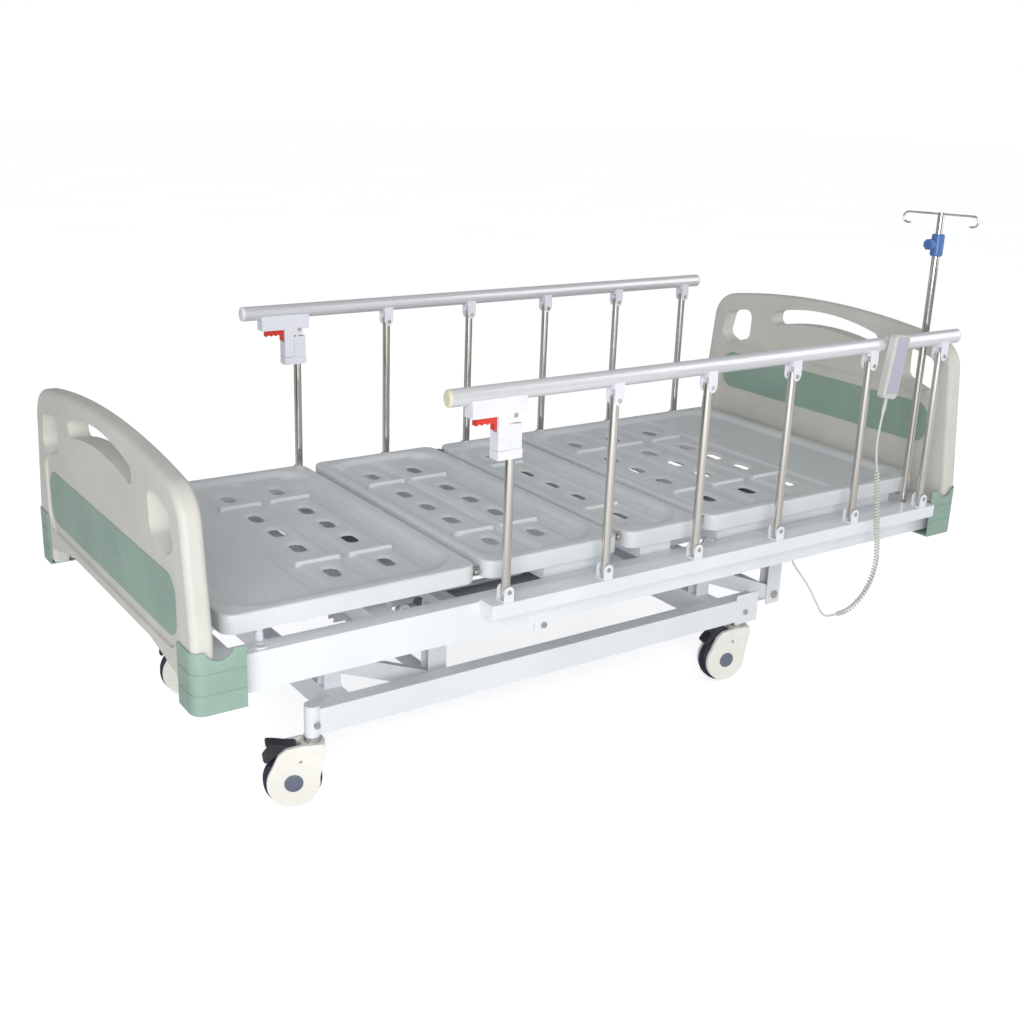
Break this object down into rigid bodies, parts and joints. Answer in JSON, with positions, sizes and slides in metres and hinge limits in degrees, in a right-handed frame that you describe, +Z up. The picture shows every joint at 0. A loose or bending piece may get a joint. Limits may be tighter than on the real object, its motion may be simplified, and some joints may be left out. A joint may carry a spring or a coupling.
{
  "type": "adjustable hospital bed",
  "caption": "Height-adjustable four-section hospital bed on castors with folding side rails, end boards, drip pole and wired handset.",
  "frame": {"origin": "on the floor, under the middle of the bed's bounding box", "axes": "+X towards the head end, +Z up, -Y towards the side that carries the handset and the drip pole"},
  "size_m": [2.138, 1.0335, 1.204],
  "materials": {
    "painted_steel": "smooth white powder coat",
    "zinc_steel": "zinc-plated fasteners",
    "castor_shell": "ivory moulded cover",
    "castor_tread": "dark synthetic tread",
    "black_plastic": "moulded pedal",
    "deck_steel": "light grey powder coat on pressed sheet",
    "actuator_grey": "moulded motor case",
    "rod_steel": "ground steel rod",
    "polished_steel": "polished stainless tube",
    "anodised_aluminium": "satin anodised extrusion",
    "white_plastic": "white moulding",
    "red_plastic": "red moulding",
    "board_plastic": "blow-moulded warm grey board",
    "green_plastic": "muted green moulding",
    "blue_plastic": "blue moulding",
    "handset_plastic": "ivory case with a lilac-grey membrane",
    "cord_jacket": "ivory-grey sheath",
    "control_box_plastic": "moulded case"
  },
  "bodies": {
    "base": {"base_frame": "painted_steel", "base_fasteners": "zinc_steel"},
    "castor_foot_left": {"castor_housing_foot_left": "castor_shell"},
    "wheel_foot_left": {"castor_wheel_foot_left": "castor_tread"},
    "pedal_foot_left": {"castor_pedal_foot_left": "black_plastic"},
    "castor_foot_right": {"castor_housing_foot_right": "castor_shell"},
    "wheel_foot_right": {"castor_wheel_foot_right": "castor_tread"},
    "pedal_foot_right": {"castor_pedal_foot_right": "black_plastic"},
    "castor_head_left": {"castor_housing_head_left": "castor_shell"},
    "wheel_head_left": {"castor_wheel_head_left": "castor_tread"},
    "pedal_head_left": {"castor_pedal_head_left": "black_plastic"},
    "castor_head_right": {"castor_housing_head_right": "castor_shell"},
    "wheel_head_right": {"castor_wheel_head_right": "castor_tread"},
    "pedal_head_right": {"castor_pedal_head_right": "black_plastic"},
    "foot_lift": {"foot_lift_arm": "painted_steel"},
    "head_lift": {"head_lift_arm": "painted_steel"},
    "tie_bar": {"lift_tie_bar": "painted_steel"},
    "bed_frame": {"upper_frame": "painted_steel", "upper_fasteners": "zinc_steel", "rail_channels": "painted_steel", "corner_covers": "green_plastic", "headboard": "board_plastic", "footboard": "board_plastic", "board_inlays": "green_plastic", "seat_deck": "deck_steel", "actuator_bodies": "actuator_grey", "control_box": "control_box_plastic", "iv_pole_outer": "polished_steel", "iv_pole_collar": "blue_plastic"},
    "height_rod": {"height_actuator_rod": "rod_steel"},
    "back_section": {"back_deck": "deck_steel", "back_frame": "painted_steel"},
    "back_rod": {"back_actuator_rod": "rod_steel"},
    "thigh_section": {"thigh_deck": "deck_steel", "thigh_frame": "painted_steel"},
    "calf_section": {"calf_deck": "deck_steel"},
    "knee_rod": {"knee_actuator_rod": "rod_steel"},
    "left_post_1": {"left_rail_post_1": "polished_steel"},
    "left_post_2": {"left_rail_post_2": "polished_steel"},
    "left_post_3": {"left_rail_post_3": "polished_steel"},
    "left_post_4": {"left_rail_post_4": "polished_steel"},
    "left_post_5": {"left_rail_post_5": "polished_steel"},
    "left_post_6": {"left_rail_post_6": "polished_steel"},
    "left_handrail": {"left_handrail": "anodised_aluminium", "left_rail_fittings": "white_plastic", "handset": "handset_plastic", "handset_cord_leads": "cord_jacket", "handset_cord_coil": "cord_jacket"},
    "left_trigger": {"left_latch_trigger": "red_plastic"},
    "right_post_1": {"right_rail_post_1": "polished_steel"},
    "right_post_2": {"right_rail_post_2": "polished_steel"},
    "right_post_3": {"right_rail_post_3": "polished_steel"},
    "right_post_4": {"right_rail_post_4": "polished_steel"},
    "right_post_5": {"right_rail_post_5": "polished_steel"},
    "right_post_6": {"right_rail_post_6": "polished_steel"},
    "right_handrail": {"right_handrail": "anodised_aluminium", "right_rail_fittings": "white_plastic"},
    "right_trigger": {"right_latch_trigger": "red_plastic"},
    "iv_inner": {"iv_pole_inner": "polished_steel"},
    "iv_knob": {"iv_pole_knob": "blue_plastic"}
  },
  "joints": [
    {"name": "swivel_foot_left", "type": "hinge", "parent": "base", "child": "castor_foot_left", "pos_m": [-0.749, -0.307, 0.14], "axis": [0, 0, 1], "continuous": true},
    {"name": "wheel_spin_foot_left", "type": "hinge", "parent": "castor_foot_left", "child": "wheel_foot_left", "pos_m": [-0.78941, -0.29229, 0.0625], "axis": [0.342, 0.9397, 0], "continuous": true},
    {"name": "brake_pedal_foot_left", "type": "hinge", "parent": "castor_foot_left", "child": "pedal_foot_left", "pos_m": [-0.78659, -0.29332, 0.137], "axis": [-0.342, -0.9397, 0], "range_deg": [0, 6]},
    {"name": "swivel_foot_right", "type": "hinge", "parent": "base", "child": "castor_foot_right", "pos_m": [-0.749, 0.307, 0.14], "axis": [0, 0, 1], "continuous": true},
    {"name": "wheel_spin_foot_right", "type": "hinge", "parent": "castor_foot_right", "child": "wheel_foot_right", "pos_m": [-0.78941, 0.32171, 0.0625], "axis": [0.342, 0.9397, 0], "continuous": true},
    {"name": "brake_pedal_foot_right", "type": "hinge", "parent": "castor_foot_right", "child": "pedal_foot_right", "pos_m": [-0.78659, 0.32068, 0.137], "axis": [-0.342, -0.9397, 0], "range_deg": [0, 6]},
    {"name": "swivel_head_left", "type": "hinge", "parent": "base", "child": "castor_head_left", "pos_m": [0.476, -0.307, 0.14], "axis": [0, 0, 1], "continuous": true},
    {"name": "wheel_spin_head_left", "type": "hinge", "parent": "castor_head_left", "child": "wheel_head_left", "pos_m": [0.43365, -0.29953, 0.0625], "axis": [0.1736, 0.9848, 0], "continuous": true},
    {"name": "brake_pedal_head_left", "type": "hinge", "parent": "castor_head_left", "child": "pedal_head_left", "pos_m": [0.43661, -0.30005, 0.137], "axis": [-0.1736, -0.9848, 0], "range_deg": [0, 6]},
    {"name": "swivel_head_right", "type": "hinge", "parent": "base", "child": "castor_head_right", "pos_m": [0.476, 0.307, 0.14], "axis": [0, 0, 1], "continuous": true},
    {"name": "wheel_spin_head_right", "type": "hinge", "parent": "castor_head_right", "child": "wheel_head_right", "pos_m": [0.43365, 0.31447, 0.0625], "axis": [0.1736, 0.9848, 0], "continuous": true},
    {"name": "brake_pedal_head_right", "type": "hinge", "parent": "castor_head_right", "child": "pedal_head_right", "pos_m": [0.43661, 0.31395, 0.137], "axis": [-0.1736, -0.9848, 0], "range_deg": [0, 6]},
    {"name": "height_lift", "type": "hinge", "parent": "base", "child": "foot_lift", "pos_m": [-0.672, 0, 0.28], "axis": [0, -1, 0], "range_deg": [0, 62]},
    {"name": "frame_level", "type": "hinge", "parent": "foot_lift", "child": "bed_frame", "pos_m": [-0.408, 0, 0.175], "axis": [0, -1, 0], "range_deg": [-62, 0]},
    {"name": "head_lift_follow", "type": "hinge", "parent": "base", "child": "head_lift", "pos_m": [0.396, 0, 0.28], "axis": [0, -1, 0], "range_deg": [0, 62]},
    {"name": "tie_bar_pivot", "type": "hinge", "parent": "foot_lift", "child": "tie_bar", "pos_m": [-0.3668, 0, 0.24357], "axis": [0, -1, 0], "range_deg": [-62, 0]},
    {"name": "height_rod_slide", "type": "slide", "parent": "bed_frame", "child": "height_rod", "axis": [1, 0, 0], "range_m": [-0.09063, 0]},
    {"name": "backrest_hinge", "type": "hinge", "parent": "bed_frame", "child": "back_section", "pos_m": [0.229, 0, 0.503], "axis": [0, -1, 0], "range_deg": [0, 75]},
    {"name": "back_rod_slide", "type": "slide", "parent": "bed_frame", "child": "back_rod", "axis": [1, 0, 0], "range_m": [0, 0.13095]},
    {"name": "thigh_hinge", "type": "hinge", "parent": "bed_frame", "child": "thigh_section", "pos_m": [-0.02, 0, 0.503], "axis": [0, 1, 0], "range_deg": [0, 35]},
    {"name": "calf_hinge", "type": "hinge", "parent": "thigh_section", "child": "calf_section", "pos_m": [-0.403, 0, 0.49], "axis": [0, 1, 0], "range_deg": [-61.4, 0]},
    {"name": "knee_rod_slide", "type": "slide", "parent": "bed_frame", "child": "knee_rod", "axis": [1, 0, 0], "range_m": [-0.0541, 0]},
    {"name": "left_rail_fold", "type": "hinge", "parent": "bed_frame", "child": "left_post_1", "pos_m": [-0.393, -0.4885, 0.4795], "axis": [0, -1, 0], "range_deg": [0, 84]},
    {"name": "left_post_2_fold", "type": "hinge", "parent": "bed_frame", "child": "left_post_2", "pos_m": [-0.1315, -0.4885, 0.4795], "axis": [0, -1, 0], "range_deg": [0, 84]},
    {"name": "left_post_3_fold", "type": "hinge", "parent": "bed_frame", "child": "left_post_3", "pos_m": [0.13, -0.4885, 0.4795], "axis": [0, -1, 0], "range_deg": [0, 84]},
    {"name": "left_post_4_fold", "type": "hinge", "parent": "bed_frame", "child": "left_post_4", "pos_m": [0.391, -0.4885, 0.4795], "axis": [0, -1, 0], "range_deg": [0, 84]},
    {"name": "left_post_5_fold", "type": "hinge", "parent": "bed_frame", "child": "left_post_5", "pos_m": [0.652, -0.4885, 0.4795], "axis": [0, -1, 0], "range_deg": [0, 84]},
    {"name": "left_post_6_fold", "type": "hinge", "parent": "bed_frame", "child": "left_post_6", "pos_m": [0.913, -0.4885, 0.4795], "axis": [0, -1, 0], "range_deg": [0, 84]},
    {"name": "left_handrail_level", "type": "hinge", "parent": "left_post_1", "child": "left_handrail", "pos_m": [-0.393, -0.4885, 0.8565], "axis": [0, -1, 0], "range_deg": [-84, 0]},
    {"name": "left_latch_trigger_squeeze", "type": "hinge", "parent": "left_handrail", "child": "left_trigger", "pos_m": [-0.429, -0.4885, 0.864], "axis": [0, 1, 0], "range_deg": [0, 6], "stiffness_Nm_per_rad": 0.6, "springref_deg": -2.86},
    {"name": "right_rail_fold", "type": "hinge", "parent": "bed_frame", "child": "right_post_1", "pos_m": [-0.393, 0.4885, 0.4795], "axis": [0, -1, 0], "range_deg": [0, 84]},
    {"name": "right_post_2_fold", "type": "hinge", "parent": "bed_frame", "child": "right_post_2", "pos_m": [-0.1315, 0.4885, 0.4795], "axis": [0, -1, 0], "range_deg": [0, 84]},
    {"name": "right_post_3_fold", "type": "hinge", "parent": "bed_frame", "child": "right_post_3", "pos_m": [0.13, 0.4885, 0.4795], "axis": [0, -1, 0], "range_deg": [0, 84]},
    {"name": "right_post_4_fold", "type": "hinge", "parent": "bed_frame", "child": "right_post_4", "pos_m": [0.391, 0.4885, 0.4795], "axis": [0, -1, 0], "range_deg": [0, 84]},
    {"name": "right_post_5_fold", "type": "hinge", "parent": "bed_frame", "child": "right_post_5", "pos_m": [0.652, 0.4885, 0.4795], "axis": [0, -1, 0], "range_deg": [0, 84]},
    {"name": "right_post_6_fold", "type": "hinge", "parent": "bed_frame", "child": "right_post_6", "pos_m": [0.913, 0.4885, 0.4795], "axis": [0, -1, 0], "range_deg": [0, 84]},
    {"name": "right_handrail_level", "type": "hinge", "parent": "right_post_1", "child": "right_handrail", "pos_m": [-0.393, 0.4885, 0.8565], "axis": [0, -1, 0], "range_deg": [-84, 0]},
    {"name": "right_latch_trigger_squeeze", "type": "hinge", "parent": "right_handrail", "child": "right_trigger", "pos_m": [-0.429, 0.4885, 0.864], "axis": [0, 1, 0], "range_deg": [0, 6], "stiffness_Nm_per_rad": 0.6, "springref_deg": -2.86},
    {"name": "iv_pole_extend", "type": "slide", "parent": "bed_frame", "child": "iv_inner", "axis": [0, 0, 1], "range_m": [0, 0.45]},
    {"name": "iv_clamp_knob_turn", "type": "hinge", "parent": "bed_frame", "child": "iv_knob", "pos_m": [0.9, -0.435, 1.128], "axis": [-1, 0, 0], "range_deg": [0, 180]}
  ],
  "couplings": [
    {"joint": "frame_level", "follows": "height_lift", "ratio": -1},
    {"joint": "head_lift_follow", "follows": "height_lift", "ratio": 1},
    {"joint": "tie_bar_pivot", "follows": "height_lift", "ratio": -1},
    {"joint": "height_rod_slide", "follows": "height_lift", "m_per_rad": -0.083291},
    {"joint": "back_rod_slide", "follows": "backrest_hinge", "m_per_rad": 0.099653},
    {"joint": "calf_hinge", "follows": "thigh_hinge", "ratio": -1.74},
    {"joint": "knee_rod_slide", "follows": "thigh_hinge", "m_per_rad": -0.087746},
    {"joint": "left_post_2_fold", "follows": "left_rail_fold", "ratio": 1},
    {"joint": "left_post_3_fold", "follows": "left_rail_fold", "ratio": 1},
    {"joint": "left_post_4_fold", "follows": "left_rail_fold", "ratio": 1},
    {"joint": "left_post_5_fold", "follows": "left_rail_fold", "ratio": 1},
    {"joint": "left_post_6_fold", "follows": "left_rail_fold", "ratio": 1},
    {"joint": "left_handrail_level", "follows": "left_rail_fold", "ratio": -1},
    {"joint": "right_post_2_fold", "follows": "right_rail_fold", "ratio": 1},
    {"joint": "right_post_3_fold", "follows": "right_rail_fold", "ratio": 1},
    {"joint": "right_post_4_fold", "follows": "right_rail_fold", "ratio": 1},
    {"joint": "right_post_5_fold", "follows": "right_rail_fold", "ratio": 1},
    {"joint": "right_post_6_fold", "follows": "right_rail_fold", "ratio": 1},
    {"joint": "right_handrail_level", "follows": "right_rail_fold", "ratio": -1}
  ]
}
